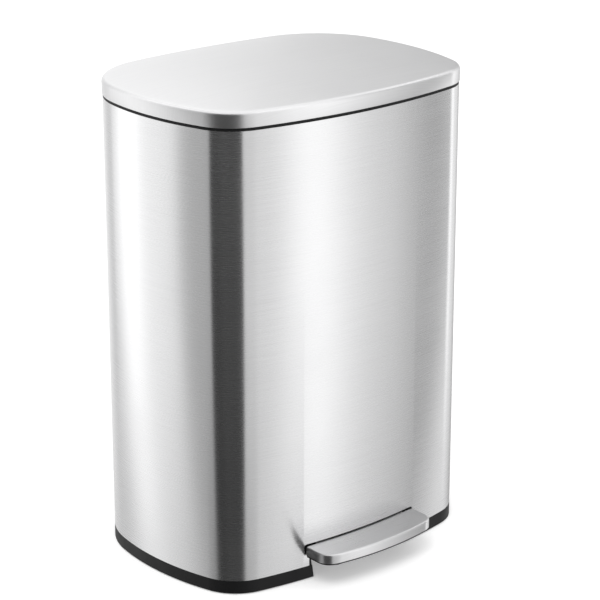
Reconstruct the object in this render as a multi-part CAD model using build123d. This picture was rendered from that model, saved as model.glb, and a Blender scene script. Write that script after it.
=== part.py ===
from build123d import *
import math
import os

# Step-on kitchen trash can: bulged steel shell, hinged steel lid, lift-out bucket and a
# pedal that opens the lid through a lever and a push rod inside the rear wall.
#
# Millimetres, +Z up, +X to the right seen from the front, front of the can towards -Y.
# The origin is on the floor, at the middle of the footprint.  The sub-parts are modelled
# about the middle of the body, and save() shifts them all back by the same BODY_SHIFT.

os.makedirs("parts", exist_ok=True)

# ---------------------------------------------------------------- driving dimensions
BODY_W = 430.0          # shell width at its widest
BODY_D = 320.0          # shell depth at its deepest
BULGE_FRONT = 32.4      # how far the front wall bows out over the full width
BULGE_BACK = 23.8       # the same for the back wall
BULGE_SIDE = 39.2       # the same for each side wall over the full depth
CORNER_FRONT = 61.0     # plan radius of the two front corners
CORNER_BACK = 113.6     # plan radius of the two back corners

SHEET = 0.7             # steel sheet of the shell and the lid
SHELL_BOTTOM = 18.0     # lower edge of the shell, on the base band
SHELL_TOP = 584.0       # upper edge of the shell, under the rim

BAND_BOTTOM = 1.5       # underside of the base band
DECK_UNDER = 65.0       # underside of the base deck
DECK_TOP = 68.0         # the bucket stands on this
BASE_INNER = 3.4        # inset of the base ring's inner face
LEDGE_INNER = 8.0       # inset of the inner edge of the ledge under the deck
RIB = 2.5               # thickness of the ribs under the deck
RIM_TOP = 587.0         # top of the black rim
LID_BOTTOM = 587.7      # lower edge of the lid skirt
LID_SHOULDER = 607.0    # where the skirt has turned into the top
LID_RADIUS = 5.5        # bend between the skirt and the top
LID_OVERHANG = 0.7      # lid skirt stands this far outside the shell
DOME_RISE = 9.0         # crown of the lid above its shoulder
HEM_INNER = 2.4         # inset of the inner edge of the lid's hem
LINER_FLOOR = 600.0     # underside of the tray inside the lid

PEDAL_FRONT = 45.0      # how far the pedal stands out in front of the shell
PEDAL_HALF = 90.0       # half width of the pedal
PEDAL_BACK = -157.5     # rear edge of its wide part, just in front of the shell
PEDAL_TOP = 46.0        # height of the tread
PEDAL_SKIRT = 12.0      # depth of the steel cap's edge
PEDAL_BOTTOM = 32.0     # lower edge of the plastic core
PEDAL_BOW = 8.0         # how far its front edge bows out
PEDAL_CORNER = 22.0     # size of its front corners in plan
NOTCH_HALF = 83.5       # half width of the opening in the shell
NOTCH_WIDE = 91.0       # half width of its upper part, beside the tread
NOTCH_STEP = 37.0       # the opening widens above this height
NOTCH_TOP = 47.8        # top of the opening
NECK_HALF = 72.0        # half width of the pedal where it enters the base

PIVOT_Y = -60.0         # pedal lever pivot
PIVOT_Z = 31.0
LEVER_REAR = 207.0      # pivot to the pin in the push rod foot
LEVER_REST = 3.3        # lever slopes down to the rear by this many degrees
LEVER_PIN_D = 5.0
PIVOT_PIN_D = 6.0

HINGE_Y = 172.0         # lid hinge axis, just behind the rear wall
HINGE_Z = 585.0
HINGE_PIN_D = 6.0
CRANK = 29.2            # lid hinge axis to crank pin
CRANK_REST = 40.0       # crank points forward and this many degrees down when shut
CRANK_PIN_D = 5.0

ROD_Y = 147.0           # push rod runs up inside the rear wall
ROD_D = 6.0
FIT = 0.05              # running fit, radial

HOUSING_BACK = 188.0    # rear face of the hinge housing
HOUSING_HALF = 75.0     # half width of the hinge housing
HOUSING_BOTTOM = 505.0
HOUSING_WALL = 3.0
SLOT_HALF = 26.0        # half width of the opening for the hinge arms
COVER_HALF = 24.0       # half width of the rod cover
COVER_FRONT = 133.0     # front face of the rod cover
BUCKET_TOP = 572.0
BUCKET_WALL = 2.0
BUCKET_INSET = 8.0      # inset of the bucket at its top
BUCKET_TAPER = 8.0      # how much further in its foot is
BUCKET_BOTTOM = DECK_TOP + 0.2

PEDAL_TIP = -BODY_D / 2 - PEDAL_FRONT
BODY_SHIFT = -(PEDAL_TIP + HOUSING_BACK) / 2


# ---------------------------------------------------------------- plan outline of the body
def bow_radius(chord, sagitta):
    """Radius of an arc from its chord and its rise."""
    return (chord ** 2 / 4 + sagitta ** 2) / (2 * sagitta)


FRONT_R = bow_radius(BODY_W, BULGE_FRONT)
BACK_R = bow_radius(BODY_W, BULGE_BACK)
SIDE_R = bow_radius(BODY_D, BULGE_SIDE)
FRONT_C = (0.0, -BODY_D / 2 + FRONT_R)
BACK_C = (0.0, BODY_D / 2 - BACK_R)
SIDE_C = (BODY_W / 2 - SIDE_R, 0.0)


def corner_centre(wall_c, wall_r, corner_r, side):
    """Centre of the corner arc inside a wall arc and the right side arc."""
    (x1, y1), r1 = wall_c, wall_r - corner_r
    (x2, y2), r2 = SIDE_C, SIDE_R - corner_r
    dx, dy = x2 - x1, y2 - y1
    dist = math.hypot(dx, dy)
    along = (dist ** 2 + r1 ** 2 - r2 ** 2) / (2 * dist)
    across = math.sqrt(r1 ** 2 - along ** 2)
    points = []
    for sign in (1, -1):
        px = x1 + along * dx / dist - sign * across * dy / dist
        py = y1 + along * dy / dist + sign * across * dx / dist
        points.append((px, py))
    return max(points, key=lambda p: p[0] + side * p[1])


FRONT_CORNER = corner_centre(FRONT_C, FRONT_R, CORNER_FRONT, -1)
BACK_CORNER = corner_centre(BACK_C, BACK_R, CORNER_BACK, 1)


def on_arc(centre, radius, towards):
    """Point of a circle in the direction of another point."""
    dx, dy = towards[0] - centre[0], towards[1] - centre[1]
    length = math.hypot(dx, dy)
    return (centre[0] + dx / length * radius, centre[1] + dy / length * radius)


def outline(inset):
    """Body plan, moved inwards by inset: eight arcs, each tangent to the next."""
    front_end = on_arc(FRONT_C, FRONT_R - inset, FRONT_CORNER)
    side_front = on_arc(SIDE_C, SIDE_R - inset, FRONT_CORNER)
    side_back = on_arc(SIDE_C, SIDE_R - inset, BACK_CORNER)
    back_end = on_arc(BACK_C, BACK_R - inset, BACK_CORNER)
    front_half = ((front_end[0] + side_front[0]) / 2, (front_end[1] + side_front[1]) / 2)
    back_half = ((back_end[0] + side_back[0]) / 2, (back_end[1] + side_back[1]) / 2)
    front_mid = on_arc(FRONT_CORNER, CORNER_FRONT - inset, front_half)
    back_mid = on_arc(BACK_CORNER, CORNER_BACK - inset, back_half)
    side_mid = (BODY_W / 2 - inset, 0.0)

    def mirror(p):
        return (-p[0], p[1])

    edges = [
        Edge.make_three_point_arc(mirror(front_end), (0, -BODY_D / 2 + inset), front_end),
        Edge.make_three_point_arc(front_end, front_mid, side_front),
        Edge.make_three_point_arc(side_front, side_mid, side_back),
        Edge.make_three_point_arc(side_back, back_mid, back_end),
        Edge.make_three_point_arc(back_end, (0, BODY_D / 2 - inset), mirror(back_end)),
        Edge.make_three_point_arc(mirror(back_end), mirror(back_mid), mirror(side_back)),
        Edge.make_three_point_arc(mirror(side_back), mirror(side_mid), mirror(side_front)),
        Edge.make_three_point_arc(mirror(side_front), mirror(front_mid), mirror(front_end)),
    ]
    return Wire(edges)


def prism(inset, z0, z1):
    """Solid with the body's plan between two heights."""
    return extrude(Face(outline(inset)).moved(Location((0, 0, z0))), z1 - z0, (0, 0, 1))


def ring(outer, inner, z0, z1):
    """Wall that follows the body's plan, between two insets and two heights."""
    return prism(outer, z0, z1) - prism(inner, z0 - 1, z1 + 1)


def block(x0, x1, y0, y1, z0, z1):
    """Plain block between its two corners."""
    centre = Location(((x0 + x1) / 2, (y0 + y1) / 2, (z0 + z1) / 2))
    return Box(x1 - x0, y1 - y0, z1 - z0).moved(centre)


def upright(x, y, z0, z1, diameter):
    """Cylinder that stands on its end."""
    return Cylinder(diameter / 2, z1 - z0).moved(Location((x, y, (z0 + z1) / 2)))


def cross_pin(x0, x1, y, z, diameter):
    """Cylinder that lies along X."""
    place = Location(((x0 + x1) / 2, y, z), (0, 90, 0))
    return Cylinder(diameter / 2, x1 - x0).moved(place)


def along_y(x, y0, y1, z, diameter):
    """Cylinder that lies along Y."""
    return Cylinder(diameter / 2, y1 - y0).moved(Location((x, (y0 + y1) / 2, z), (90, 0, 0)))


def side_plate(points, x0, x1):
    """Plate cut from a Y-Z profile and as thick as x0 to x1."""
    profile = Wire.make_polygon([Vector(x0, y, z) for y, z in points], close=True)
    return extrude(Face(profile), x1 - x0, (1, 0, 0))


def rounded(shape, axis, radius):
    """Same shape with its edges along one axis rounded."""
    return fillet(shape.edges().filter_by(axis), radius)


def screw(x, y, z_head, length, shank, up):
    """Pan-head screw; up is +1 when it is driven upwards and -1 when downwards."""
    head = upright(x, y, z_head - 1.0, z_head + 1.0, shank * 2)
    reach = z_head + up * length
    stem = upright(x, y, min(z_head, reach), max(z_head, reach), shank)
    cross = block(x - shank * 0.6, x + shank * 0.6, y - 0.5, y + 0.5, z_head - 1.2, z_head - 0.3)
    if up < 0:
        cross = cross.moved(Location((0, 0, 1.5)))
    return fillet(head.edges(), 0.4) + stem - cross


def save(name, *solids):
    """Shift a node into the can's frame and write it."""
    placed = [s.moved(Location((0, BODY_SHIFT, 0))) for s in solids]
    shape = placed[0] if len(placed) == 1 else Compound(children=placed)
    export_step(shape, f"parts/{name}.step")


# ---------------------------------------------------------------- places worked out
ROD_LIFT = 2 * CRANK * math.sin(math.radians(CRANK_REST))
LEVER_SLOPE = math.radians(LEVER_REST)
FOOT_Z = PIVOT_Z - LEVER_REAR * math.sin(LEVER_SLOPE)
FOOT_Y = PIVOT_Y + LEVER_REAR * math.cos(LEVER_SLOPE)
CRANK_Y = HINGE_Y - CRANK * math.cos(math.radians(CRANK_REST))
CRANK_Z = HINGE_Z - CRANK * math.sin(math.radians(CRANK_REST))
PEDAL_SWING = math.degrees(math.asin((FOOT_Z + ROD_LIFT - PIVOT_Z) / LEVER_REAR)) + LEVER_REST


# ---------------------------------------------------------------- body
def outer_shell():
    """Rolled steel wall with the pedal opening and the slot for the hinge arms."""
    wall = ring(0, SHEET, SHELL_BOTTOM, SHELL_TOP)
    opening = block(-NOTCH_HALF, NOTCH_HALF, -BODY_D, -100, SHELL_BOTTOM - 5, NOTCH_TOP)
    wide = rounded(block(-NOTCH_WIDE, NOTCH_WIDE, -BODY_D, -100, NOTCH_STEP, NOTCH_TOP), Axis.Y, 4)
    slot = block(-SLOT_HALF, SLOT_HALF, 120, BODY_D, SHELL_TOP - 34, SHELL_TOP + 5)
    wall = wall - opening - wide - slot
    for x, z in HOUSING_SCREWS:
        wall -= along_y(x, 100, BODY_D, z, 3.6)
    return wall


def base_ring():
    """Moulded base ring: band below the shell, wall inside it, ledge, and pedal tunnel."""
    band = ring(0, BASE_INNER, BAND_BOTTOM, SHELL_BOTTOM - 0.05)
    wall = ring(SHEET + 0.2, BASE_INNER, SHELL_BOTTOM - 2, DECK_TOP)
    ledge = ring(BASE_INNER - 0.5, LEDGE_INNER, DECK_UNDER - 3, DECK_UNDER)
    tunnel = (pedal_bay(3.0, -112) - pedal_bay(0, -100)) & prism(1.0, BAND_BOTTOM, DECK_UNDER)
    return band + wall + ledge + tunnel - pedal_bay(0, -148) - rod_hole(156.2)


def base_deck():
    """Flat deck under the bucket, resting on the ring's ledge."""
    deck = prism(BASE_INNER + 0.2, DECK_UNDER, DECK_TOP)
    for x, y in BRACKET_SCREWS:
        deck -= upright(x, y, DECK_UNDER - 1, DECK_TOP + 1, 3.4)
    return deck - rod_hole(170)


def deck_ribs():
    """Four straight ribs that stiffen the deck from below."""
    inside = prism(LEDGE_INNER + 0.4, 0, DECK_TOP)
    ribs = []
    for y in (-30, 60):
        for side in (-1, 1):
            x0, x1 = sorted((side * 30, side * 212))
            ribs.append(block(x0, x1, y - RIB / 2, y + RIB / 2, DECK_UNDER - 10, DECK_UNDER) & inside)
    return ribs


def foot_posts():
    """Four posts from the deck down to the feet, bored for the feet's stems."""
    posts = []
    for x, y in FOOT_PLACES:
        posts.append(upright(x, y, 3.0, DECK_UNDER, 22) - upright(x, y, 0, 12, 8.1))
    return posts


def rod_hole(back):
    """Opening in the deck that the push rod and its foot rise through."""
    return block(-13, 13, 134.5, back, DECK_UNDER - 5, DECK_TOP + 2)


def pedal_bay(wall, back):
    """Opening under the pedal: its sides lean in towards the floor."""
    top, foot = NOTCH_HALF - 0.5 + wall, NOTCH_HALF - 7.5 + wall
    z1 = NOTCH_TOP - 1 + wall
    profile = Wire.make_polygon([Vector(-foot, back, -5), Vector(foot, back, -5),
                                 Vector(top, back, z1), Vector(-top, back, z1)], close=True)
    return extrude(Face(profile), BODY_D, (0, -1, 0))


FOOT_PLACES = [(-145, -95), (145, -95), (-120, 95), (120, 95)]
BRACKET_SCREWS = [(-34, PIVOT_Y - 14), (34, PIVOT_Y - 14), (-34, PIVOT_Y + 14), (34, PIVOT_Y + 14)]


def rubber_feet():
    """Four push-in feet."""
    feet = []
    for x, y in FOOT_PLACES:
        disc = fillet(upright(x, y, 0, 2.9, 20).edges().group_by(Axis.Z)[0], 1.0)
        feet.append(disc + upright(x, y, 2, 11, 8.0))
    return feet


def top_rim():
    """Black ring that caps the shell's upper edge and stands just inside it."""
    cap = ring(0.8, 4.0, SHELL_TOP + 0.05, RIM_TOP)
    flange = ring(SHEET + 0.2, 3.0, SHELL_TOP - 26, SHELL_TOP + 1)
    rim = cap + flange - block(-SLOT_HALF, SLOT_HALF, 120, BODY_D, SHELL_TOP - 40, RIM_TOP + 5)
    for x, y in BUMPER_PLACES:
        rim -= upright(x, y, RIM_TOP - 1.5, RIM_TOP + 1, 2.2)
    return rim


def bumper_places():
    """Points on the rim at the ends of the front wall and of the back wall."""
    inset = 2.4
    front = on_arc(FRONT_C, FRONT_R - inset, FRONT_CORNER)
    back = on_arc(BACK_C, BACK_R - inset, BACK_CORNER)
    return [front, (-front[0], front[1]), back, (-back[0], back[1])]


BUMPER_PLACES = bumper_places()


def lid_bumpers():
    """Four soft dots on the rim that the lid closes onto."""
    return [upright(x, y, RIM_TOP - 1.4, RIM_TOP + 0.4, 2.1) for x, y in BUMPER_PLACES]


# ---------------------------------------------------------------- lid
def dome(inset, z0):
    """Low crown over the plan: a curved skin on a flat bottom, closed into a solid."""
    rim = outline(inset).moved(Location((0, 0, z0)))
    crown = [Vector(0, 0, z0 + DOME_RISE)]
    for angle in range(0, 360, 45):
        x = 0.5 * (BODY_W / 2 - inset) * math.cos(math.radians(angle))
        y = 0.5 * (BODY_D / 2 - inset) * math.sin(math.radians(angle))
        crown.append(Vector(x, y, z0 + DOME_RISE * 0.76))
    skin = Face.make_surface(rim.edges(), surface_points=crown)
    floor = Face(rim)
    return Solid(Shell([skin, floor]))


def lid_form(inset):
    """Outside of the lid when inset is 0, or its inside when inset is the sheet."""
    edge = inset - LID_OVERHANG
    body = prism(edge, LID_BOTTOM, LID_SHOULDER - inset)
    body = fillet(body.edges().group_by(Axis.Z)[-1], LID_RADIUS - inset)
    crown = dome(edge + LID_RADIUS - inset + 0.3, LID_SHOULDER - inset)
    return body + crown


def lid_shell():
    """Drawn steel lid: skirt, bent shoulder, low crown and a hem turned inwards."""
    hem = ring(0, HEM_INNER, LID_BOTTOM, LID_BOTTOM + SHEET)
    return lid_form(0) - lid_form(SHEET) + hem


def lid_liner():
    """Moulded tray inside the lid, with a wall that stands on the hem and cross ribs."""
    floor_z = LINER_FLOOR
    wall = ring(0.2, HEM_INNER, LID_BOTTOM + SHEET + 0.1, floor_z + 2)
    tray = wall + prism(0.2, floor_z, floor_z + 2.2)
    for x in (-100, 0, 100):
        tray += block(x - 1, x + 1, -140, 110, floor_z + 2, floor_z + 5)
    for x, y in ARM_SCREWS:
        tray += upright(x, y, floor_z + 1, floor_z + 5.5, 8)
    for x, y in ARM_SCREWS:
        tray -= upright(x, y, floor_z - 1, floor_z + 5.2, 3.0)
    return tray


ARM_SCREWS = [(-34, 128), (34, 128), (-34, 146), (34, 146)]


def lid_arms():
    """Folded steel hinge bracket: two cheeks with the hinge eyes and the crank, one flange."""
    cheeks = []
    for x0 in (-21.5, 19.0):
        x1 = x0 + 2.5
        riser = side_plate([(HINGE_Y - 6, HINGE_Z + 1), (HINGE_Y - 2, HINGE_Z - 8.4),
                            (HINGE_Y - 19, HINGE_Z - 24), (HINGE_Y - 28, HINGE_Z - 17),
                            (HINGE_Y - 31, HINGE_Z - 8), (HINGE_Y - 50, HINGE_Z + 8),
                            (HINGE_Y - 50, HINGE_Z + 15), (HINGE_Y - 17, HINGE_Z + 15),
                            (HINGE_Y - 17, HINGE_Z + 1)], x0, x1)
        eye = cross_pin(x0, x1, HINGE_Y, HINGE_Z, 17)
        crank_eye = cross_pin(x0, x1, CRANK_Y, CRANK_Z, 12)
        cheek = riser + eye + crank_eye
        cheek -= cross_pin(x0 - 1, x1 + 1, HINGE_Y, HINGE_Z, HINGE_PIN_D + 2 * FIT)
        cheek -= cross_pin(x0 - 1, x1 + 1, CRANK_Y, CRANK_Z, CRANK_PIN_D)
        cheeks.append(cheek)
    flange = block(-42, 42, HINGE_Y - 50, HINGE_Y - 17, HINGE_Z + 12.5, HINGE_Z + 14.95)
    bracket = cheeks[0] + cheeks[1] + rounded(flange, Axis.Z, 5)
    for x, y in ARM_SCREWS:
        bracket -= upright(x, y, 590, 602, 3.4)
    return bracket


def arm_screws():
    """Four screws from below through the flange into the liner."""
    return [screw(x, y, HINGE_Z + 11.4, 8.6, 3.0, 1) for x, y in ARM_SCREWS]


# ---------------------------------------------------------------- rear hinge housing
def hinge_housing():
    """Moulded box behind the rear wall that carries the hinge pin and hides the rod head."""
    box = block(-HOUSING_HALF, HOUSING_HALF, 140, HOUSING_BACK, HOUSING_BOTTOM, SHELL_TOP)
    box = rounded(box, Axis.Z, 9)
    box = fillet(box.edges().group_by(Axis.Z)[0], 6)
    inner = HOUSING_HALF - HOUSING_WALL
    hollow = block(-inner, inner, 100, HOUSING_BACK - 2.5, HOUSING_BOTTOM + HOUSING_WALL,
                   SHELL_TOP - 2.5)
    box = box - rounded(hollow, Axis.Z, 6)
    for side in (-1, 1):
        x0, x1 = sorted((side * (SLOT_HALF + 0.5), side * (SLOT_HALF + 8.5)))
        ear = cross_pin(x0, x1, HINGE_Y, HINGE_Z, 19)
        ear += block(x0, x1, HINGE_Y - 9.5, HINGE_Y + 9.5, HINGE_Z - 24, HINGE_Z)
        box += ear
    for x, z in HOUSING_SCREWS:
        box += along_y(x, 140, HOUSING_BACK - 2, z, 9)
    box -= block(-SLOT_HALF - 0.4, SLOT_HALF + 0.4, 100, HINGE_Y + 11, HINGE_Z - 40, HINGE_Z + 30)
    box -= cross_pin(-40, 40, HINGE_Y, HINGE_Z, HINGE_PIN_D)
    for x, z in HOUSING_SCREWS:
        box -= along_y(x, 140, 176, z, 3.2)
    return box - prism(-0.05, 400, 700)


HOUSING_SCREWS = [(-55, 520), (55, 520), (-55, 547), (55, 547)]


def housing_screws():
    """Four screws from inside the shell into the housing's bosses."""
    screws = []
    for x, z in HOUSING_SCREWS:
        wall_y = BACK_C[1] + math.sqrt((BACK_R - SHEET) ** 2 - x ** 2)
        head = fillet(along_y(x, wall_y - 2.5, wall_y - 0.35, z, 6.4).edges(), 0.4)
        screws.append(head + along_y(x, wall_y - 1, wall_y + 15, z, 3.2))
    return screws


def hinge_pin():
    """Steel pin across both ears of the housing."""
    pin = cross_pin(-SLOT_HALF - 8.4, SLOT_HALF + 8.4, HINGE_Y, HINGE_Z, HINGE_PIN_D)
    return chamfer(pin.edges(), 0.5)


def crank_pin():
    """Pin across the two crank eyes, carried in the slot of the rod head."""
    pin = cross_pin(-22.3, 22.3, CRANK_Y, CRANK_Z, CRANK_PIN_D - 0.02)
    return chamfer(pin.edges(), 0.4)


# ---------------------------------------------------------------- push rod and damper
def push_rod():
    """Round steel rod from the lever to the lid crank."""
    rod = upright(0, ROD_Y, FOOT_Z + 7, CRANK_Z - 5, ROD_D)
    return chamfer(rod.edges(), 0.5)


def slotted_head():
    """Nylon head with a cross slot, pressed on the top of the rod."""
    head = block(-10, 10, 137.2, 155.6, CRANK_Z - 14, CRANK_Z + 6.5)
    head = rounded(head, Axis.X, 2)
    slot_y0, slot_y1 = HINGE_Y - CRANK - 2.9, CRANK_Y + 2.9
    head -= block(-11, 11, slot_y0, slot_y1, CRANK_Z - 3.3, CRANK_Z + 3.3)
    return head - upright(0, ROD_Y, CRANK_Z - 20, CRANK_Z - 4.9, ROD_D)


def rod_foot():
    """Nylon foot with a cross slot for the lever pin, pressed on the bottom of the rod."""
    foot = block(-9, 9, FOOT_Y - 9, FOOT_Y + 9, FOOT_Z - 6.6, FOOT_Z + 14)
    foot = rounded(foot, Axis.Z, 2)
    foot -= block(-10, 10, FOOT_Y - 4.4, FOOT_Y + 3.4, FOOT_Z - 2.9, FOOT_Z + 2.9)
    return foot - upright(0, ROD_Y, FOOT_Z + 6.9, FOOT_Z + 20, ROD_D)


def rod_guide(z0):
    """Nylon block on the rear wall with a bore for the rod and one for the damper."""
    guide = rounded(block(-11, 11, 141, 159.0, z0, z0 + 12), Axis.Z, 2)
    return guide - upright(0, ROD_Y, z0 - 1, z0 + 13, ROD_D + 0.2)


def rod_cover():
    """Moulded channel on the rear wall that keeps bags off the rod."""
    z0, z1 = DECK_TOP + 0.3, 548.0
    channel = block(-COVER_HALF, COVER_HALF, COVER_FRONT, 170, z0, z1)
    channel = fillet(channel.edges().filter_by(Axis.Z).group_by(Axis.Y)[0], 4)
    channel -= block(-COVER_HALF + 2, COVER_HALF - 2, COVER_FRONT + 2, 170, z0 - 1, z1 + 1)
    for side in (-1, 1):
        x0, x1 = sorted((side * (COVER_HALF - 1), side * (COVER_HALF + 7)))
        channel += block(x0, x1, 150, 170, z0 + 6, z1 - 4) - prism(3.2, 0, 600)
    return channel & prism(SHEET + 0.05, 0, 600)


def cover_screws():
    """Six short screws through the cover's flanges into the rear wall."""
    screws = []
    for x in (-COVER_HALF - 4, COVER_HALF + 4):
        for z in (110, 310, 500):
            wall_y = BACK_C[1] + math.sqrt((BACK_R - 3.2) ** 2 - x ** 2)
            head = along_y(x, wall_y - 1.6, wall_y - 0.2, z, 5.2)
            screws.append(fillet(head.edges(), 0.3))
    return screws


DAMPER_X = 15.0
DAMPER_Z = 400.0


def damper_cylinder():
    """Hollow body of the closing damper."""
    body = upright(DAMPER_X, ROD_Y, DAMPER_Z, DAMPER_Z + 80, 10.4)
    body = fillet(body.edges(), 0.8)
    body -= upright(DAMPER_X, ROD_Y, DAMPER_Z + 3, DAMPER_Z + 76, 8.0)
    return body - upright(DAMPER_X, ROD_Y, DAMPER_Z + 70, DAMPER_Z + 82, 3.7)


def damper_clip():
    """Saddle that fixes the damper body to the rear wall."""
    clip = block(DAMPER_X - 7, DAMPER_X + 6.8, ROD_Y - 1, 170, DAMPER_Z + 20, DAMPER_Z + 50)
    clip -= upright(DAMPER_X, ROD_Y, DAMPER_Z, DAMPER_Z + 80, 10.45)
    return clip & prism(SHEET + 0.05, 0, 600)


def damper_rod():
    """Piston and its rod, which rise and fall with the push rod."""
    rod = upright(DAMPER_X, ROD_Y, DAMPER_Z + 22, DAMPER_Z + 142, 3.5)
    return rod + upright(DAMPER_X, ROD_Y, DAMPER_Z + 20, DAMPER_Z + 26, 7.8)


def damper_link():
    """Clamp that ties the damper rod to the push rod."""
    z0 = DAMPER_Z + 134
    link = rounded(block(-5.5, DAMPER_X + 4, ROD_Y - 5, ROD_Y + 5, z0, z0 + 10), Axis.Z, 3)
    link -= upright(0, ROD_Y, z0 - 1, z0 + 11, ROD_D)
    return link - upright(DAMPER_X, ROD_Y, z0 - 1, z0 + 8, 3.5)


# ---------------------------------------------------------------- pedal
def pedal_plan(inset, half, back):
    """Pedal plan: bowed front edge, round front corners, straight sides, square back."""
    bow = PEDAL_BOW
    radius = PEDAL_CORNER - inset
    tip = PEDAL_TIP + inset
    side = half - inset
    shoulder = tip + bow + radius * 0.85
    points = [(-side, back), (-side, shoulder)]
    left = [Vector(x, y, 0) for x, y in points]
    edges = [
        Edge.make_line(left[0], left[1]),
        Edge.make_spline([left[1], Vector(-side + radius, tip + bow * 0.72, 0)],
                         tangents=[Vector(0, -1, 0), Vector(1, -0.14, 0)]),
        Edge.make_three_point_arc((-side + radius, tip + bow * 0.72), (0, tip),
                                  (side - radius, tip + bow * 0.72)),
        Edge.make_spline([Vector(side - radius, tip + bow * 0.72, 0), Vector(side, shoulder, 0)],
                         tangents=[Vector(1, 0.14, 0), Vector(0, 1, 0)]),
        Edge.make_line((side, shoulder), (side, back)),
        Edge.make_line((side, back), (-side, back)),
    ]
    return Face(Wire(edges))


def pedal_form(inset, top, bottom, back):
    """Solid of the tread's plan between two heights, wide in front of the shell."""
    plan = pedal_plan(inset, PEDAL_HALF, back)
    return extrude(plan.moved(Location((0, 0, bottom))), top - bottom, (0, 0, 1))


def pedal_cap():
    """Steel tread with its front and side edges turned down."""
    outside = pedal_form(0, PEDAL_TOP, PEDAL_TOP - PEDAL_SKIRT, PEDAL_BACK)
    outside = fillet(outside.edges().group_by(Axis.Z)[-1].sort_by(Axis.Y)[:-1], 2.5)
    inside = pedal_form(0.8, PEDAL_TOP - 0.8, PEDAL_TOP - PEDAL_SKIRT - 1, PEDAL_BACK + 5)
    inside = fillet(inside.edges().group_by(Axis.Z)[-1].sort_by(Axis.Y)[:-1], 1.7)
    tongue = block(-NECK_HALF, NECK_HALF, -158, -140, PEDAL_TOP - 0.8, PEDAL_TOP)
    return outside - inside + tongue


def pedal_core():
    """Moulded body under the tread, open below, with ribs and a neck into the base."""
    core = pedal_form(0.8, PEDAL_TOP - 0.8, PEDAL_BOTTOM, PEDAL_BACK)
    core = fillet(core.edges().group_by(Axis.Z)[-1].sort_by(Axis.Y)[:-1], 1.7)
    core -= pedal_form(3.2, PEDAL_TOP - 3.0, PEDAL_BOTTOM - 1, PEDAL_BACK - 2.4)
    neck = block(-NECK_HALF, NECK_HALF, -161, -138, PEDAL_TOP - 3.0, PEDAL_TOP - 0.8)
    for x in (-NECK_HALF + 1.2, -40, 40, NECK_HALF - 1.2):
        neck += block(x - 1.2, x + 1.2, -195, -138, PEDAL_BOTTOM, PEDAL_TOP - 2)
    neck += block(-22, 22, -194, -138, PEDAL_BOTTOM + 2, PEDAL_TOP - 2)
    core += neck
    core -= block(-NECK_HALF + 2.4, -41.2, -160.5, -150, PEDAL_BOTTOM - 1, PEDAL_TOP - 3.0)
    core -= block(41.2, NECK_HALF - 2.4, -160.5, -150, PEDAL_BOTTOM - 1, PEDAL_TOP - 3.0)
    core -= block(-17.4, 17.4, -187, -130, 20, 35)
    tilt = lever_frame(block(-17.3, 17.3, -132, -77, -30, LEVER_WEB_TOP + 0.02))
    core -= tilt
    for x, y in PEDAL_SCREWS:
        core -= upright(x, y, PEDAL_BOTTOM, PEDAL_TOP - 1.5, 3.0)
    return core


LEVER_WEB_TOP = 3.5
PEDAL_SCREWS = [(0, -178), (0, -148)]


def lever_frame(shape):
    """Tilt a piece drawn along the lever and put it on the pivot."""
    return shape.moved(Location((0, PIVOT_Y, PIVOT_Z), (-LEVER_REST, 0, 0)))


def lever_arm():
    """Pressed steel channel from the pedal to the push rod, on its pivot."""
    front, rear = -124.0, LEVER_REAR + 8
    channel = block(-17, 17, front, rear, -6, LEVER_WEB_TOP)
    channel -= block(-15, 15, front - 1, rear + 1, -7, LEVER_WEB_TOP - 2)
    channel -= block(-11, 11, LEVER_REAR - 14, rear + 1, -10, 10)
    channel -= cross_pin(-20, 20, 0, 0, PIVOT_PIN_D + 4.1)
    channel -= cross_pin(-20, 20, LEVER_REAR, 0, LEVER_PIN_D)
    channel = lever_frame(channel)
    for x, y in PEDAL_SCREWS:
        channel -= upright(x, y, 20, 50, 3.4)
    return channel


def pivot_bushes():
    """Two flanged nylon bushes in the lever, on the pivot pin."""
    bushes = []
    for side in (-1, 1):
        x0, x1 = sorted((side * 13.0, side * 17.2))
        bush = cross_pin(x0, x1, PIVOT_Y, PIVOT_Z, PIVOT_PIN_D + 4.0)
        f0, f1 = sorted((side * 17.1, side * 18.4))
        bush += cross_pin(f0, f1, PIVOT_Y, PIVOT_Z, 13)
        bush -= cross_pin(-30, 30, PIVOT_Y, PIVOT_Z, PIVOT_PIN_D + 2 * FIT)
        bushes.append(bush)
    return bushes


def pivot_pin():
    """Steel pin across the pivot bracket."""
    return chamfer(cross_pin(-22.5, 22.5, PIVOT_Y, PIVOT_Z, PIVOT_PIN_D).edges(), 0.5)


def pivot_bracket():
    """Pair of steel cheeks with flanges, screwed under the deck."""
    cheeks = []
    for side in (-1, 1):
        x0, x1 = sorted((side * 19.0, side * 21.5))
        cheek = block(x0, x1, PIVOT_Y - 11, PIVOT_Y + 11, PIVOT_Z, DECK_UNDER - 0.05)
        cheek += cross_pin(x0, x1, PIVOT_Y, PIVOT_Z, 22)
        f0, f1 = sorted((side * 19.0, side * 44.0))
        cheek += block(f0, f1, PIVOT_Y - 22, PIVOT_Y + 22, DECK_UNDER - 2.55, DECK_UNDER - 0.05)
        cheek -= cross_pin(-30, 30, PIVOT_Y, PIVOT_Z, PIVOT_PIN_D)
        for x, y in BRACKET_SCREWS:
            cheek -= upright(x, y, 50, 70, 3.4)
        cheeks.append(cheek)
    return cheeks


def bracket_screws():
    """Four screws up through the bracket flanges into the deck."""
    return [screw(x, y, DECK_UNDER - 3.6, 6.4, 3.0, 1) for x, y in BRACKET_SCREWS]


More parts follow.
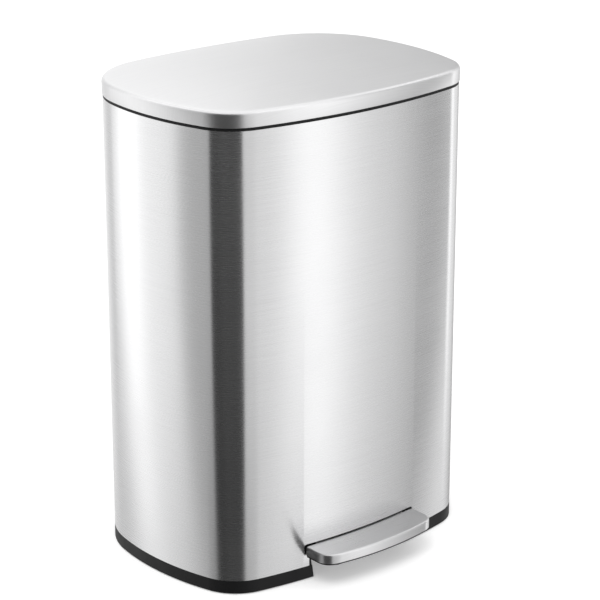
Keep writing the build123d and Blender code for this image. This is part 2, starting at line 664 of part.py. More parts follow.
def pedal_screws():
    """Two screws up through the lever into the pedal core."""
    screws = []
    for x, y in PEDAL_SCREWS:
        web = PIVOT_Z + (PIVOT_Y - y) * math.tan(LEVER_SLOPE) + LEVER_WEB_TOP
        screws.append(screw(x, y, web - 3.5, min(8.0, PEDAL_TOP - 1.6 - web + 3.4), 2.9, 1))
    return screws


def lever_pin():
    """Pin across the lever's rear end, in the slot of the rod foot."""
    pin = cross_pin(-18.5, 18.5, FOOT_Y, FOOT_Z, LEVER_PIN_D - 0.02)
    return chamfer(pin.edges(), 0.4)


def pedal_stop_pads():
    """Two rubber pads under the pedal that meet the floor at the end of its stroke."""
    pads = []
    for x in (-58, 58):
        pad = rounded(block(x - 10, x + 10, -189, -181, PEDAL_BOTTOM - 6, PEDAL_TOP - 3.05), Axis.Z, 3)
        pads.append(pad)
    return pads


# ---------------------------------------------------------------- bucket
def bucket_taper(top_inset, bottom_inset, z0, z1):
    """Tapered solid with the body's plan."""
    lower = outline(bottom_inset).moved(Location((0, 0, z0)))
    upper = outline(top_inset).moved(Location((0, 0, z1)))
    return Solid.make_loft([lower, upper], ruled=True)


def inner_bucket():
    """Moulded lift-out bucket with a turned lip, finger holes and a channel for the rod."""
    wall = BUCKET_WALL
    foot = BUCKET_INSET + BUCKET_TAPER
    channel_half, channel_front = COVER_HALF + 4.0, COVER_FRONT - 2.0
    body = bucket_taper(BUCKET_INSET, foot, BUCKET_BOTTOM, BUCKET_TOP)
    lip = prism(5.2, BUCKET_TOP - 3, BUCKET_TOP)
    recess = block(-channel_half, channel_half, channel_front, 200, BUCKET_BOTTOM - 5, BUCKET_TOP + 5)
    recess = fillet(recess.edges().filter_by(Axis.Z).group_by(Axis.Y)[0], 5)
    keep = block(-channel_half - wall, channel_half + wall, channel_front - wall, 200,
                 BUCKET_BOTTOM - 5, BUCKET_TOP + 10)
    keep = fillet(keep.edges().filter_by(Axis.Z).group_by(Axis.Y)[0], 7)
    hollow = bucket_taper(BUCKET_INSET + wall, foot + wall, BUCKET_BOTTOM + 2.5, BUCKET_TOP + 1)
    hollow -= keep
    bucket = body + lip - hollow - recess
    for side in (-1, 1):
        x0, x1 = sorted((side * 150, side * 230))
        grip = rounded(block(x0, x1, -45, 45, BUCKET_TOP - 42, BUCKET_TOP - 18), Axis.X, 11.5)
        bucket -= grip
    return bucket


# ---------------------------------------------------------------- write every node
save("outer_shell", outer_shell())
save("base_ring", base_ring())
save("base_deck", base_deck())
save("deck_ribs", *deck_ribs())
save("foot_posts", *foot_posts())
save("rubber_feet", *rubber_feet())
save("top_rim", top_rim())
save("lid_bumpers", *lid_bumpers())
save("lid_shell", lid_shell())
save("lid_liner", lid_liner())
save("lid_arms", lid_arms())
save("arm_screws", *arm_screws())
save("hinge_housing", hinge_housing())
save("housing_screws", *housing_screws())
save("hinge_pin", hinge_pin())
save("crank_pin", crank_pin())
save("push_rod", push_rod())
save("rod_head", slotted_head())
save("rod_foot", rod_foot())
save("lower_rod_guide", rod_guide(100.0))
save("upper_rod_guide", rod_guide(500.0))
save("rod_cover", rod_cover())
save("cover_screws", *cover_screws())
save("damper_cylinder", damper_cylinder())
save("damper_clip", damper_clip())
save("damper_rod", damper_rod())
save("damper_link", damper_link())
save("pedal_cap", pedal_cap())
save("pedal_core", pedal_core())
save("pedal_screws", *pedal_screws())
save("pedal_stop_pads", *pedal_stop_pads())
save("lever_arm", lever_arm())
save("lever_pin", lever_pin())
save("pivot_bushes", *pivot_bushes())
save("pivot_bracket", *pivot_bracket())
save("bracket_screws", *bracket_screws())
save("pivot_pin", pivot_pin())
save("inner_bucket", inner_bucket())

print(f"pedal swing {PEDAL_SWING:.4f} deg, rod lift {ROD_LIFT:.4f} mm, shift {BODY_SHIFT} mm")
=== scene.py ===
import math

import bmesh
import bpy
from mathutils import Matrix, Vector


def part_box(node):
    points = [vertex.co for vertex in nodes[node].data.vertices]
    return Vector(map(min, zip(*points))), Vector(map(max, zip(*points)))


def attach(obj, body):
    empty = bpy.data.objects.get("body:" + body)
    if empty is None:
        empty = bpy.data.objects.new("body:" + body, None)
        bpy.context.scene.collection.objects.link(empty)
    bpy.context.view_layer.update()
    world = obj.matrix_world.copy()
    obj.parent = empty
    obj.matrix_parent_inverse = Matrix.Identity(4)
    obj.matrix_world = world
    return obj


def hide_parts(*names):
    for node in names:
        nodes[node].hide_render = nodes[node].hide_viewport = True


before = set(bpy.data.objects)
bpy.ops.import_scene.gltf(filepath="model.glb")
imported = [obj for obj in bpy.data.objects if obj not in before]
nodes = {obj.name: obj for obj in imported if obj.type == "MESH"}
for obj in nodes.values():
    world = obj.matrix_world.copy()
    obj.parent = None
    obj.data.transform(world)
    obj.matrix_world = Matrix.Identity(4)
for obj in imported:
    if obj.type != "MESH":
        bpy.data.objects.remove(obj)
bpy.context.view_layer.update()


# ---------------------------------------------------------------- steel shell
# The can's wall: one brushed stainless sheet rolled to a bulged rectangle and seam-welded at the
# back, with an opening for the pedal at the front and a slot for the hinge arms at the back.
MM = 0.001
shell_lo, shell_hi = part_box("outer_shell")
SHELL_W = shell_hi.x - shell_lo.x
SHELL_D = shell_hi.y - shell_lo.y
MID_Y = (shell_lo.y + shell_hi.y) / 2
SHEET = 0.7 * MM
BULGE_FRONT, BULGE_BACK, BULGE_SIDE = 32.4 * MM, 23.8 * MM, 39.2 * MM
CORNER_FRONT, CORNER_BACK = 61.0 * MM, 113.6 * MM
WALL_STEP = 2.5 * MM
EDGE = SHEET / 2


def bow_radius(chord, rise):
    """Radius of a wall that bows out by rise over its chord."""
    return (chord ** 2 / 4 + rise ** 2) / (2 * rise)


FRONT_R = bow_radius(SHELL_W, BULGE_FRONT)
BACK_R = bow_radius(SHELL_W, BULGE_BACK)
SIDE_R = bow_radius(SHELL_D, BULGE_SIDE)
FRONT_C = Vector((0, -SHELL_D / 2 + FRONT_R))
BACK_C = Vector((0, SHELL_D / 2 - BACK_R))
SIDE_C = Vector((SHELL_W / 2 - SIDE_R, 0))


def corner_centre(wall_c, wall_r, corner_r, side):
    """Centre of the corner arc that runs smoothly into a front or back wall and the side wall."""
    r1, r2 = wall_r - corner_r, SIDE_R - corner_r
    gap = SIDE_C - wall_c
    along = (gap.length ** 2 + r1 ** 2 - r2 ** 2) / (2 * gap.length)
    across = math.sqrt(r1 ** 2 - along ** 2)
    run = gap.normalized()
    turn = Vector((-run.y, run.x))
    ends = [wall_c + run * along + turn * across, wall_c + run * along - turn * across]
    return max(ends, key=lambda p: p.x + side * p.y)


FRONT_CORNER = corner_centre(FRONT_C, FRONT_R, CORNER_FRONT, -1)
BACK_CORNER = corner_centre(BACK_C, BACK_R, CORNER_BACK, 1)


def bearing(centre, point):
    """Direction from a centre to a point, in radians."""
    d = point - centre
    return math.atan2(d.y, d.x)


def plan_line(step=WALL_STEP):
    """Points, outward directions and running lengths round the shell, from the middle of the back."""
    half = [
        (BACK_C, BACK_R, math.pi / 2, bearing(BACK_C, BACK_CORNER)),
        (BACK_CORNER, CORNER_BACK, bearing(BACK_C, BACK_CORNER), bearing(SIDE_C, BACK_CORNER)),
        (SIDE_C, SIDE_R, bearing(SIDE_C, BACK_CORNER), bearing(SIDE_C, FRONT_CORNER)),
        (FRONT_CORNER, CORNER_FRONT, bearing(SIDE_C, FRONT_CORNER), bearing(FRONT_C, FRONT_CORNER)),
        (FRONT_C, FRONT_R, bearing(FRONT_C, FRONT_CORNER), -math.pi / 2),
    ]
    right = []
    for centre, radius, a0, a1 in half:
        count = max(4, round(abs(a1 - a0) * radius / step))
        for i in range(count):
            a = a0 + (a1 - a0) * i / count
            out = Vector((math.cos(a), math.sin(a)))
            right.append((centre + out * radius, out))
    tip = (Vector((0, -SHELL_D / 2)), Vector((0, -1)))
    left = [(Vector((-p.x, p.y)), Vector((-n.x, n.y))) for p, n in reversed(right[1:])]
    line = right + [tip] + left
    lengths = [0.0]
    for i in range(1, len(line) + 1):
        lengths.append(lengths[-1] + (line[i % len(line)][0] - line[i - 1][0]).length)
    return line, lengths


PLAN, RUN = plan_line()


def new_mesh(name, verts, faces, uvs):
    """Object from points and faces, with the lie of the brush lines as its UVs."""
    mesh = bpy.data.meshes.new(name)
    mesh.from_pydata(verts, [], faces)
    layer = mesh.uv_layers.new(name="brush")
    loop = 0
    for face_uv in uvs:
        for uv in face_uv:
            layer.data[loop].uv = uv
            loop += 1
    obj = bpy.data.objects.new(name, mesh)
    bpy.context.scene.collection.objects.link(obj)
    return obj


def smooth(obj, sharp_above=35):
    """Smooth shading, with edges above the angle kept crisp."""
    obj.data.shade_smooth()
    obj.data.set_sharp_from_angle(angle=math.radians(sharp_above))


def wrap_profile(name, profile):
    """Sweep a closed profile of (inset, height) round the shell's plan; UVs are lengths in metres."""
    around, up = len(PLAN), len(profile)
    verts = []
    for p, n in PLAN:
        verts += [(p.x - n.x * inset, p.y - n.y * inset + MID_Y, z) for inset, z in profile]
    rise = [0.0]
    for i in range(1, up + 1):
        (a, b), (c, d) = profile[i - 1], profile[i % up]
        rise.append(rise[-1] + math.hypot(c - a, d - b))
    faces, uvs = [], []
    for i in range(around):
        j = (i + 1) % around
        for k in range(up):
            m = (k + 1) % up
            faces.append((i * up + k, j * up + k, j * up + m, i * up + m))
            near, far, low, high = RUN[i], RUN[i + 1], rise[k], rise[k + 1]
            uvs.append(((near, low), (far, low), (far, high), (near, high)))
    return new_mesh(name, verts, faces, uvs)


def round_edge(inset, z, radius, start, end, steps=4):
    """Points of a small arc in a profile, about a centre at (inset, z); angles in degrees."""
    points = []
    for i in range(steps + 1):
        a = math.radians(start + (end - start) * i / steps)
        points.append((inset + radius * math.cos(a), z + radius * math.sin(a)))
    return points


def carve(obj, cutters):
    """Cut solid shapes out of a piece, one after another, and keep the result as its mesh."""
    for cutter in cutters:
        mod = obj.modifiers.new("cut", "BOOLEAN")
        mod.operation, mod.solver, mod.object = "DIFFERENCE", "EXACT", cutter
        done = bpy.data.meshes.new_from_object(obj.evaluated_get(bpy.context.evaluated_depsgraph_get()))
        obj.modifiers.remove(mod)
        obj.data = done
    for cutter in cutters:
        bpy.data.objects.remove(cutter)


def face_outwards(mesh, join=0.0):
    """Turn every face outwards, after joining points that lie closer than join."""
    fix = bmesh.new()
    fix.from_mesh(mesh)
    if join:
        bmesh.ops.remove_doubles(fix, verts=fix.verts, dist=join)
    bmesh.ops.recalc_face_normals(fix, faces=fix.faces)
    fix.to_mesh(mesh)
    fix.free()


def block(name, lo, hi, radius=0.0, steps=6):
    """Block whose edges that run from front to back are rounded."""
    lo, hi = Vector(lo), Vector(hi)
    loop = []
    for right, up, a0 in ((1, 1, 0), (-1, 1, 90), (-1, -1, 180), (1, -1, 270)):
        x = hi.x - radius if right > 0 else lo.x + radius
        z = hi.z - radius if up > 0 else lo.z + radius
        for i in range(steps + 1 if radius else 1):
            a = math.radians(a0 + 90 * i / steps)
            loop.append((x + radius * math.cos(a), z + radius * math.sin(a)))
    verts = [(x, y, z) for y in (lo.y, hi.y) for x, z in loop]
    n = len(loop)
    faces = [tuple(range(n)), tuple(range(2 * n - 1, n - 1, -1))]
    faces += [(i, i + n, (i + 1) % n + n, (i + 1) % n) for i in range(n)]
    mesh = bpy.data.meshes.new(name)
    mesh.from_pydata(verts, [], faces)
    face_outwards(mesh)
    obj = bpy.data.objects.new(name, mesh)
    bpy.context.scene.collection.objects.link(obj)
    return obj


def principled(name, color, metallic, roughness):
    """Material with its plain values set; returns it with its node tree and its shader."""
    mat = bpy.data.materials.new(name)
    mat.use_nodes = True
    shader = mat.node_tree.nodes["Principled BSDF"]
    shader.inputs["Base Color"].default_value = (*color, 1)
    shader.inputs["Metallic"].default_value = metallic
    shader.inputs["Roughness"].default_value = roughness
    return mat, mat.node_tree, shader


def node(tree, kind, **inputs):
    """Shader node with some of its inputs set by name."""
    made = tree.nodes.new(kind)
    for key, value in inputs.items():
        made.inputs[key.replace("_", " ")].default_value = value
    return made


def brushed_steel(name, color, roughness, lines, streaks, anisotropy, wear=0.0):
    """Stainless steel with fine brush lines along U of the 'brush' UVs, which are in metres.

    Lines, streaks and wear are how far each of them moves the roughness.
    """
    mat, tree, shader = principled(name, color, 1.0, roughness)
    link = tree.links.new
    uv = tree.nodes.new("ShaderNodeUVMap")
    uv.uv_map = "brush"

    def scratches(along, across):
        """Noise drawn out along the brush, by its grains per metre each way."""
        stretch = node(tree, "ShaderNodeMapping", Scale=(along, across, 1))
        link(uv.outputs["UV"], stretch.inputs["Vector"])
        noise = node(tree, "ShaderNodeTexNoise", Scale=1.0, Detail=2.0, Roughness=0.6)
        link(stretch.outputs["Vector"], noise.inputs["Vector"])
        return noise.outputs["Fac"]

    fine = scratches(16.0, 3200.0)
    broad = scratches(7.0, 950.0)
    cloud = node(tree, "ShaderNodeTexNoise", Scale=9.0, Detail=3.0, Roughness=0.5)
    link(uv.outputs["UV"], cloud.inputs["Vector"])

    def spread(source, low, high):
        """The middle of a noise's range stretched to run from low to high."""
        fit = node(tree, "ShaderNodeMapRange", From_Min=0.3, From_Max=0.7, To_Min=low, To_Max=high)
        link(source, fit.inputs["Value"])
        return fit.outputs["Result"]

    def add(a, b):
        plus = tree.nodes.new("ShaderNodeMath")
        plus.operation = "ADD"
        link(a, plus.inputs[0])
        link(b, plus.inputs[1])
        return plus.outputs["Value"]

    rough = add(spread(fine, roughness - lines, roughness + lines), spread(broad, -streaks, streaks))
    rough = add(rough, spread(cloud.outputs["Fac"], -0.02, 0.02 + wear))
    link(rough, shader.inputs["Roughness"])
    tint = node(tree, "ShaderNodeMix")
    tint.data_type = "RGBA"
    tint.inputs[6].default_value = (*[c * 0.965 for c in color], 1)
    tint.inputs[7].default_value = (*[min(1, c * 1.03) for c in color], 1)
    link(spread(add(spread(fine, 0.1, 0.5), spread(broad, 0.1, 0.5)), 0.0, 1.0), tint.inputs[0])
    link(tint.outputs[2], shader.inputs["Base Color"])
    relief = node(tree, "ShaderNodeBump", Strength=0.05, Distance=0.00001)
    link(fine, relief.inputs["Height"])
    link(relief.outputs["Normal"], shader.inputs["Normal"])
    grain = tree.nodes.new("ShaderNodeTangent")
    grain.direction_type = "UV_MAP"
    grain.uv_map = "brush"
    link(grain.outputs["Tangent"], shader.inputs["Tangent"])
    shader.inputs["Anisotropic"].default_value = anisotropy
    shader.inputs["Anisotropic Rotation"].default_value = 0.25
    return mat


shell_steel = brushed_steel("shell_steel", (0.72, 0.72, 0.725), roughness=0.27, lines=0.025,
                            streaks=0.012, anisotropy=0.82)
shell_profile = (round_edge(EDGE, shell_lo.z + EDGE, EDGE, 360, 180)
                 + round_edge(EDGE, shell_hi.z - EDGE, EDGE, 180, 0))
shell = wrap_profile("steel_shell", shell_profile)

# half widths of the opening, low down and beside the tread; it widens above the step
NOTCH_HALF, NOTCH_WIDE, NOTCH_CORNER = 83.5 * MM, 91.0 * MM, 4.0 * MM
NOTCH_STEP, NOTCH_TOP = 37.0 * MM, 47.8 * MM
SLOT_HALF, SLOT_DEPTH = 26.0 * MM, 34.0 * MM
BACK_Y = shell_hi.y
# the cutters start outside the sheet and end well inside the can
OUTSIDE, INSIDE, OVERLAP = 50.0 * MM, 100.0 * MM, 5.0 * MM
CUT_FRONT, CUT_BACK = shell_lo.y - OUTSIDE, BACK_Y + OUTSIDE
CUT_BELOW, CUT_ABOVE = -10.0 * MM, 1000.0 * MM
carve(shell, [
    block("lower_opening", (-NOTCH_HALF, CUT_FRONT, CUT_BELOW),
          (NOTCH_HALF, MID_Y - INSIDE, NOTCH_STEP + OVERLAP)),
    block("upper_opening", (-NOTCH_WIDE, CUT_FRONT, NOTCH_STEP),
          (NOTCH_WIDE, MID_Y - INSIDE, NOTCH_TOP), NOTCH_CORNER),
    block("arm_slot", (-SLOT_HALF, MID_Y + INSIDE, shell_hi.z - SLOT_DEPTH),
          (SLOT_HALF, CUT_BACK, CUT_ABOVE)),
])
smooth(shell)
shell.data.materials.clear()
shell.data.materials.append(shell_steel)
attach(shell, "root")
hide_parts("outer_shell")


# ---------------------------------------------------------------- weld seam
# The low bead where the rolled sheet's two edges meet, up the middle of the back, laser-welded
# and linished nearly flush. It stops under the hinge housing.
SEAM_HALF, SEAM_HIGH = 0.9 * MM, 0.12 * MM
SEAM_ROOT, SEAM_SINK = 0.2 * MM, 0.03 * MM
SEAM_FOOT = shell_lo.z + 0.3 * MM
SEAM_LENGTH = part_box("hinge_housing")[0].z + 4 * MM - shell_lo.z
SEAM_ROWS, BEAD_STEPS = 60, 8


def weld_seam():
    """Flat half-round bead whose flat side is buried in the sheet."""
    section = [(-SEAM_HALF, BACK_Y - SEAM_ROOT)]
    for i in range(BEAD_STEPS + 1):
        a = math.pi * (1 - i / BEAD_STEPS)
        section.append((SEAM_HALF * math.cos(a), BACK_Y - SEAM_SINK + SEAM_HIGH * math.sin(a)))
    section.append((SEAM_HALF, BACK_Y - SEAM_ROOT))
    count = len(section)
    rows = [SEAM_FOOT + SEAM_LENGTH * i / SEAM_ROWS for i in range(SEAM_ROWS + 1)]
    verts = [(x, y, z) for z in rows for x, y in section]
    faces = [tuple(range(count)), tuple(range(len(verts) - 1, len(verts) - count - 1, -1))]
    uvs = [[(0, 0)] * count, [(0, 0)] * count]
    for r in range(len(rows) - 1):
        for i in range(count):
            j = (i + 1) % count
            quad = (r * count + i, r * count + j, (r + 1) * count + j, (r + 1) * count + i)
            faces.append(quad)
            uvs.append([(verts[q][0], verts[q][2]) for q in quad])
    return new_mesh("weld_seam", verts, faces, uvs)


seam_steel = brushed_steel("seam_steel", (0.64, 0.63, 0.62), roughness=0.36, lines=0.04,
                           streaks=0.03, anisotropy=0.5)
seam = weld_seam()
face_outwards(seam.data)
smooth(seam, 50)
seam.data.materials.append(seam_steel)
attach(seam, "root")


# ---------------------------------------------------------------- base and feet
# Black polypropylene base: the band under the shell, the deck the bucket stands on, and the
# bosses that hold four push-in rubber feet. Moulded, with a fine spark grain on the outside.
def moulded(name, color, roughness, grain=0.05, grain_size=0.0006, mottle=0.25, shine=0.4, metal=0.0):
    """Moulded or plated finish: fine grain, slight gloss changes and a faint mottle."""
    mat, tree, shader = principled(name, color, metal, roughness)
    link = tree.links.new
    place = tree.nodes.new("ShaderNodeTexCoord")
    spots = node(tree, "ShaderNodeTexNoise", Scale=1.0 / grain_size, Detail=2.0, Roughness=0.55)
    patch = node(tree, "ShaderNodeTexNoise", Scale=22.0, Detail=4.0, Roughness=0.6)
    link(place.outputs["Object"], spots.inputs["Vector"])
    link(place.outputs["Object"], patch.inputs["Vector"])
    gloss = node(tree, "ShaderNodeMapRange", From_Min=0.3, From_Max=0.7,
                 To_Min=roughness - 0.07, To_Max=roughness + 0.07)
    link(patch.outputs["Fac"], gloss.inputs["Value"])
    link(gloss.outputs["Result"], shader.inputs["Roughness"])
    tint = node(tree, "ShaderNodeMix")
    tint.data_type = "RGBA"
    tint.inputs[6].default_value = (*[c * (1 - mottle) for c in color], 1)
    tint.inputs[7].default_value = (*[min(1, c * (1 + mottle)) for c in color], 1)
    link(patch.outputs["Fac"], tint.inputs[0])
    link(tint.outputs[2], shader.inputs["Base Color"])
    relief = node(tree, "ShaderNodeBump", Strength=grain * 6, Distance=0.00008)
    link(spots.outputs["Fac"], relief.inputs["Height"])
    link(relief.outputs["Normal"], shader.inputs["Normal"])
    shader.inputs["Specular IOR Level"].default_value = shine
    return mat


def finish_node(name, material, bevel=0.0):
    """Give a piece its material, and round its sharp edges where a bevel is asked for."""
    obj = nodes[name]
    obj.data.materials.clear()
    obj.data.materials.append(material)
    if bevel:
        mod = obj.modifiers.new("soft_edges", "BEVEL")
        mod.width, mod.segments, mod.limit_method = bevel, 2, "ANGLE"
        mod.angle_limit = math.radians(40)


black_moulding = moulded("black_moulding", (0.006, 0.006, 0.0065), 0.5, shine=0.22)
rubber = moulded("foot_rubber", (0.015, 0.015, 0.015), 0.75, grain=0.08, grain_size=0.0012)
for name in ("base_ring", "base_deck", "deck_ribs", "foot_posts"):
    finish_node(name, black_moulding)
finish_node("rubber_feet", rubber)


# ---------------------------------------------------------------- top rim
# Black ring pressed over the shell's upper edge. Its edge is the dark seam under the lid, and
# four soft dots set in it take the lid as it closes.
finish_node("top_rim", black_moulding)
finish_node("lid_bumpers", rubber)


# ---------------------------------------------------------------- lid
# Drawn stainless lid with a straight skirt, a bent shoulder and a low crown, brushed lengthwise,
# its hem turned in over a moulded liner. The folded hinge arms are screwed up into the liner.
lid_lo, lid_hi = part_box("lid_shell")
LID_OVERHANG = 0.7 * MM
LID_RADIUS = 5.5 * MM
SHOULDER_Z = lid_lo.z + 19.3 * MM
CROWN = lid_hi.z - SHOULDER_Z
HEM, HEM_ROUND = 2.4 * MM, 0.4 * MM
CROWN_RINGS, CROWN_POWER = 26, 2.2


def crown_rings(inset, shoulder_z):
    """Rings that shrink from the shoulder to the middle and rise on a soft curve."""
    rings = []
    for i in range(1, CROWN_RINGS):
        s = 1 - i / CROWN_RINGS
        z = shoulder_z + CROWN * (1 - s ** CROWN_POWER)
        rings.append([((p.x - n.x * inset) * s, (p.y - n.y * inset) * s + MID_Y, z) for p, n in PLAN])
    return rings


def lid_shoulder(thick):
    """(inset, height) round the bend, at the sheet's outside or a thickness inside it."""
    slope = math.degrees(math.atan(CROWN_POWER * CROWN / (SHELL_D / 2)))
    meet = 90 + slope * 0.6
    return round_edge(LID_RADIUS - LID_OVERHANG, SHOULDER_Z - LID_RADIUS, LID_RADIUS - thick, 180, meet, 8)


def build_lid():
    """The lid's sheet as one closed skin: outside from hem to middle, and the same inside."""
    foot = lid_lo.z
    outer = ([(HEM, foot + SHEET), (HEM, foot)]
             + round_edge(HEM_ROUND - LID_OVERHANG, foot + HEM_ROUND, HEM_ROUND, 270, 180, 3)
             + lid_shoulder(0.0))
    inner = [(HEM, foot + SHEET), (SHEET - LID_OVERHANG, foot + SHEET)] + lid_shoulder(SHEET)
    verts, faces, uvs = [], [], []
    count = len(PLAN)

    def add_sheet(profile, drop, flip):
        """One face of the sheet; UVs are places on the flat blank, so the brush lines run as it was cut."""
        first = len(verts)
        edge_inset, edge_z = profile[-1]
        blank = []
        for k, (inset, z) in enumerate(profile):
            drawn = sum(math.dist(a, b) for a, b in zip(profile[k:], profile[k + 1:]))
            verts.extend((p.x - n.x * inset, p.y - n.y * inset + MID_Y, z) for p, n in PLAN)
            blank.extend((p - n * (edge_inset - drawn))[:] for p, n in PLAN)
        for ring in crown_rings(edge_inset, SHOULDER_Z - drop):
            verts.extend((x, y, max(z, edge_z)) for x, y, z in ring)
            blank.extend((x, y - MID_Y) for x, y, z in ring)
        verts.append((0, MID_Y, SHOULDER_Z - drop + CROWN))
        blank.append((0, 0))
        hub = len(blank) - 1
        rings = hub // count
        for k in range(rings):
            for i in range(count):
                j = (i + 1) % count
                corners = [k * count + i, k * count + j]
                corners += [hub] if k == rings - 1 else [(k + 1) * count + j, (k + 1) * count + i]
                if flip:
                    corners.reverse()
                faces.append([first + c for c in corners])
                uvs.append([blank[c] for c in corners])

    add_sheet(outer, 0.0, False)
    add_sheet(inner, SHEET, True)
    lid = new_mesh("steel_lid", verts, faces, uvs)
    face_outwards(lid.data, join=0.001 * MM)
    return lid


lid_steel = brushed_steel("lid_steel", (0.76, 0.76, 0.765), roughness=0.33, lines=0.03,
                          streaks=0.015, anisotropy=0.62)
lid = build_lid()
smooth(lid, 50)
lid.data.materials.append(lid_steel)
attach(lid, "lid")
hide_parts("lid_shell")

liner_grey = moulded("liner_grey", (0.075, 0.075, 0.078), 0.42)
zinc = moulded("zinc_plate", (0.55, 0.56, 0.58), 0.35, grain=0.02, mottle=0.12, metal=1.0)
screw_steel = moulded("screw_steel", (0.62, 0.62, 0.64), 0.3, grain=0.02, mottle=0.1, metal=1.0)
pin_steel = moulded("pin_steel", (0.75, 0.75, 0.77), 0.18, grain=0.01, mottle=0.06, metal=1.0)
finish_node("lid_liner", liner_grey)
finish_node("lid_arms", zinc)
finish_node("arm_screws", screw_steel)
finish_node("crank_pin", pin_steel)


# ---------------------------------------------------------------- hinge housing
# Black moulded box on the back of the shell that carries the hinge pin in two ears and covers
# the crank, held by four screws from inside the shell.
housing_black = moulded("housing_black", (0.009, 0.009, 0.0095), 0.52, grain=0.09, shine=0.3)
finish_node("hinge_housing", housing_black, bevel=0.5 * MM)
finish_node("housing_screws", screw_steel)
finish_node("hinge_pin", pin_steel)


# ---------------------------------------------------------------- push rod and damper
# Round steel rod in two nylon guides behind a moulded cover, with a slotted nylon head and foot,
# and the small closing damper clipped beside it.
nylon = moulded("natural_nylon", (0.72, 0.70, 0.62), 0.4, grain=0.03, mottle=0.05)
damper_grey = moulded("damper_grey", (0.30, 0.31, 0.33), 0.35)
finish_node("push_rod", zinc)
for name in ("rod_head", "rod_foot", "lower_rod_guide", "upper_rod_guide", "damper_clip", "damper_link"):
    finish_node(name, nylon)
finish_node("rod_cover", liner_grey)
finish_node("cover_screws", screw_steel)
finish_node("damper_cylinder", damper_grey)
finish_node("damper_rod", pin_steel)


# ---------------------------------------------------------------- pedal and lever
# Wide tread of brushed steel over a black moulded core, on a pressed steel lever that rocks on
# a pin under the deck and lifts the push rod.
def build_tread():
    """The cap as one clean skin; its brush lines run along the flat blank and turn down with the edge."""
    tread = bpy.data.objects.new("steel_tread", nodes["pedal_cap"].data.copy())
    tread.matrix_world = nodes["pedal_cap"].matrix_world.copy()
    bpy.context.scene.collection.objects.link(tread)
    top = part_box("pedal_cap")[1].z
    skin = bmesh.new()
    skin.from_mesh(tread.data)
    bmesh.ops.remove_doubles(skin, verts=skin.verts, dist=0.001 * MM)
    for old in list(skin.loops.layers.uv.values()):
        skin.loops.layers.uv.remove(old)
    brush = skin.loops.layers.uv.new("brush")
    for face in skin.faces:
        outward = face.normal.xy if abs(face.normal.z) < 0.7 else Vector((0, 0))
        for corner in face.loops:
            place = corner.vert.co
            corner[brush].uv = place.xy + outward * (top - place.z)
    skin.to_mesh(tread.data)
    skin.free()
    smooth(tread, 40)
    return tread


tread_steel = brushed_steel("tread_steel", (0.68, 0.68, 0.685), roughness=0.30, lines=0.03,
                            streaks=0.02, anisotropy=0.7, wear=0.04)
tread = build_tread()
tread.data.materials.clear()
tread.data.materials.append(tread_steel)
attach(tread, "pedal")
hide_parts("pedal_cap")
finish_node("pedal_core", black_moulding, bevel=0.3 * MM)
finish_node("pedal_stop_pads", rubber)
finish_node("pedal_screws", screw_steel)
finish_node("lever_arm", zinc)
finish_node("lever_pin", pin_steel)
finish_node("pivot_bushes", nylon)
finish_node("pivot_bracket", zinc)
finish_node("bracket_screws", screw_steel)
finish_node("pivot_pin", pin_steel)


# ---------------------------------------------------------------- bucket
# Lift-out bucket of dark grey polypropylene with a turned lip and finger holes.
bucket_plastic = moulded("bucket_plastic", (0.055, 0.055, 0.058), 0.42, grain=0.06, mottle=0.15)
finish_node("inner_bucket", bucket_plastic)


# ---------------------------------------------------------------- floor, light and camera
# Pale studio floor, soft light from above and the sides, and a ring of reflector cards that only
# shows in the steel.
def square(half, z):
    """Corners of a level square round the origin."""
    return [(-half, -half, z), (half, -half, z), (half, half, z), (-half, half, z)]


FLOOR_REACH = 30.0
floor_mesh = bpy.data.meshes.new("floor")
floor_mesh.from_pydata(square(FLOOR_REACH, 0), [], [(0, 1, 2, 3)])
floor = bpy.data.objects.new("floor", floor_mesh)
bpy.context.scene.collection.objects.link(floor)
# a slight glow keeps the paper white, and the steel shows the cards in its place
floor_mat, _, floor_shader = principled("floor_paper", (0.76, 0.76, 0.76), 0.0, 0.8)
floor_shader.inputs["Emission Color"].default_value = (1, 1, 1, 1)
floor_shader.inputs["Emission Strength"].default_value = 0.34
floor.visible_glossy = False
floor_mesh.materials.append(floor_mat)

world = bpy.data.worlds.new("studio")
bpy.context.scene.world = world
world.use_nodes = True
world.node_tree.nodes["Background"].inputs["Color"].default_value = (1, 1, 1, 1)
world.node_tree.nodes["Background"].inputs["Strength"].default_value = 1.0

TENT_R = 2.6
# (height; share of a card's low brightness; share of its high brightness)
STEPS = [(-7.0, 0.45, 0.0), (-2.6, 0.66, 0.0), (-0.2, 1.04, 0.0), (1.3, 1.0, 0.0), (2.1, 0.62, 0.34),
         (3.2, 0.0, 1.5)]
OVERHEAD, UNDERFOOT = 1.16, 0.45
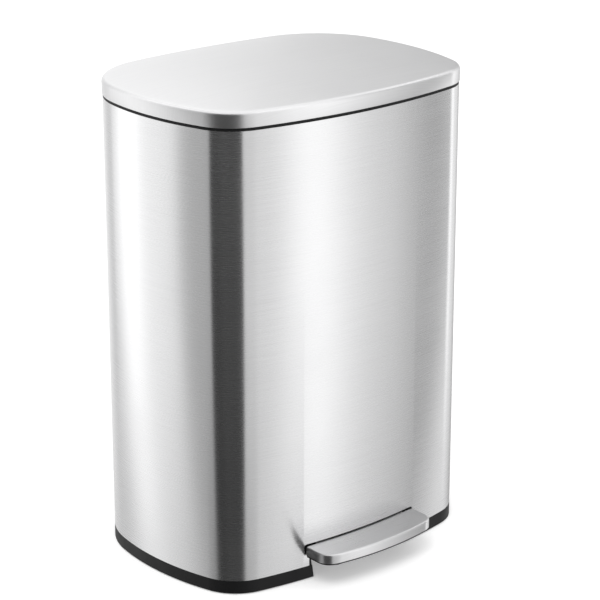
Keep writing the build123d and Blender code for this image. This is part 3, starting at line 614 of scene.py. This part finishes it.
# (bearing in degrees from the front towards the can's left side; brightness low down; brightness high up)
CARDS = [(-180, 0.90, 1.05), (-170, 1.00, 1.15), (-160, 1.12, 1.25), (-150, 1.12, 1.25), (-143, 0.96, 1.15),
         (-138, 0.80, 1.02), (-132, 0.66, 0.90), (-125, 0.54, 0.80), (-110, 0.58, 0.75), (-100, 0.80, 0.80),
         (-92, 1.00, 1.00), (-84, 0.95, 0.95), (-76, 1.45, 1.45), (-70, 1.35, 1.35), (-67.5, 0.60, 0.60),
         (-63, 0.44, 0.44), (-59, 0.44, 0.44), (-53, 0.62, 0.62), (-46.5, 0.82, 0.82), (-41, 0.90, 0.90),
         (-36, 1.02, 1.02), (-31, 1.22, 1.22), (-26, 1.42, 1.42), (-21, 1.36, 1.36), (-17, 1.05, 1.05),
         (-13, 0.86, 0.86), (0, 0.80, 0.80), (19, 0.80, 0.80), (21, 0.075, 0.075), (40, 0.07, 0.07),
         (60, 0.075, 0.075), (84, 0.05, 0.05), (87, 0.045, 0.045), (90, 0.50, 0.50), (103, 0.50, 0.50),
         (110, 0.50, 0.50), (115, 0.60, 0.60), (118, 1.02, 1.02), (126, 1.10, 1.10), (133, 1.12, 1.14),
         (138, 1.24, 1.25), (142, 1.52, 1.45), (149, 1.60, 1.52), (153, 1.40, 1.36), (157, 1.00, 1.10),
         (161, 0.78, 1.00), (170, 0.76, 1.00), (180, 0.90, 1.05)]


def shining(name, mesh):
    """Glow by the mesh's own shades, seen by gloss alone."""
    mat = bpy.data.materials.new(name)
    mat.use_nodes = True
    tree = mat.node_tree
    tree.nodes.clear()
    shade_in = tree.nodes.new("ShaderNodeVertexColor")
    shade_in.layer_name = "shade"
    glow = tree.nodes.new("ShaderNodeEmission")
    out = tree.nodes.new("ShaderNodeOutputMaterial")
    tree.links.new(shade_in.outputs["Color"], glow.inputs["Color"])
    tree.links.new(glow.outputs["Emission"], out.inputs["Surface"])
    mesh.materials.append(mat)
    obj = bpy.data.objects.new(name, mesh)
    bpy.context.scene.collection.objects.link(obj)
    obj.visible_camera = False
    obj.visible_diffuse = False
    obj.visible_shadow = False
    obj.visible_transmission = False


def build_cards():
    """Round wall of cards that fades downwards, closed by one card overhead and one below."""
    verts, faces, shades = [], [], []
    rows = len(STEPS)
    for angle, low, high in CARDS:
        a = math.radians(angle)
        for z, low_share, high_share in STEPS:
            verts.append((-math.sin(a) * TENT_R, -math.cos(a) * TENT_R, z))
            shades.append(low * low_share + high * high_share)
    for i in range(len(CARDS) - 1):
        for k in range(rows - 1):
            here, there = rows * i + k, rows * (i + 1) + k
            faces.append((here, here + 1, there + 1, there))
    for z, shade in ((STEPS[-1][0], OVERHEAD), (STEPS[0][0], UNDERFOOT)):
        first = len(verts)
        verts += square(TENT_R, z)
        shades += [shade] * 4
        faces.append((first, first + 1, first + 2, first + 3))
    mesh = bpy.data.meshes.new("cards")
    mesh.from_pydata(verts, [], faces)
    layer = mesh.color_attributes.new("shade", "FLOAT_COLOR", "POINT")
    for i, shade in enumerate(shades):
        layer.data[i].color = (shade, shade, shade, 1)
    shining("cards", mesh)


build_cards()

# soft round lamp above the front left
LAMP_PLACE, LAMP_TARGET = Vector((-1.2, -1.0, 2.6)), Vector((0, 0, 0.3))
lamp = bpy.data.lights.new("key", "AREA")
lamp.shape, lamp.size, lamp.energy = "DISK", 1.6, 30
lamp_obj = bpy.data.objects.new("key", lamp)
lamp_obj.location = LAMP_PLACE
lamp_obj.rotation_euler = (LAMP_TARGET - LAMP_PLACE).to_track_quat("-Z", "Y").to_euler()
lamp_obj.visible_glossy = False
bpy.context.scene.collection.objects.link(lamp_obj)

# angles in radians; the camera stands at the front left and aims a little right of the can's middle
CAM_BEARING, CAM_AIM, CAM_PITCH = 0.6958, 0.7053, 0.3321
CAM_DISTANCE, CAM_HEIGHT = 2.6875, 1.2336
SENSOR, LENS = 36.0, 134.3
cam = bpy.data.cameras.new("camera")
cam.sensor_width, cam.lens = SENSOR, LENS
cam_obj = bpy.data.objects.new("camera", cam)
cam_obj.location = (-math.sin(CAM_BEARING) * CAM_DISTANCE,
                    -math.cos(CAM_BEARING) * CAM_DISTANCE + MID_Y, CAM_HEIGHT)
level = math.cos(CAM_PITCH)
look = Vector((math.sin(CAM_AIM) * level, math.cos(CAM_AIM) * level, -math.sin(CAM_PITCH)))
cam_obj.rotation_euler = look.to_track_quat("-Z", "Y").to_euler()
bpy.context.scene.collection.objects.link(cam_obj)
bpy.context.scene.camera = cam_obj
bpy.context.scene.view_settings.view_transform = "Standard"
